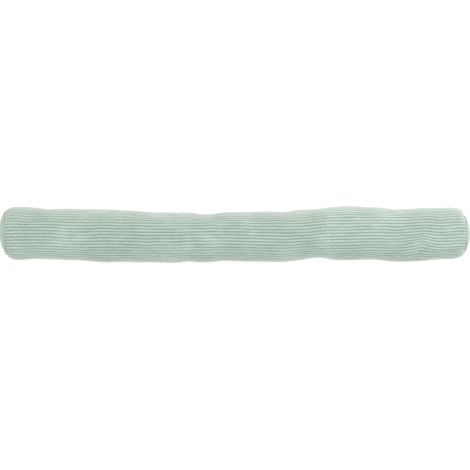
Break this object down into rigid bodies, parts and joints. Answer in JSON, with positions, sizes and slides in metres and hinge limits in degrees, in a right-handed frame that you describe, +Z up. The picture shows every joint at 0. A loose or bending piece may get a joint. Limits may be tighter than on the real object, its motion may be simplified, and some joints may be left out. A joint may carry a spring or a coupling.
{
  "type": "draught excluder",
  "caption": "Long round stuffed bolster of wide-ribbed corduroy with a domed end panel and covered piping round each end seam.",
  "frame": {"origin": "on the floor, under the middle of the tube's box", "axes": "+X along the tube to the end with the narrower seam, +Z up, +Y across it"},
  "size_m": [0.8999, 0.1075, 0.0885],
  "materials": {
    "corduroy": "pale sage green jumbo corduroy, matt with a soft pile sheen, about 17 ribs to 100 mm",
    "piping": "cord covered in the same cloth, its pile pressed flat"
  },
  "bodies": {
    "root": {"body": "corduroy", "end_left": "corduroy", "end_right": "corduroy", "piping_left": "piping", "piping_right": "piping"}
  },
  "joints": []
}
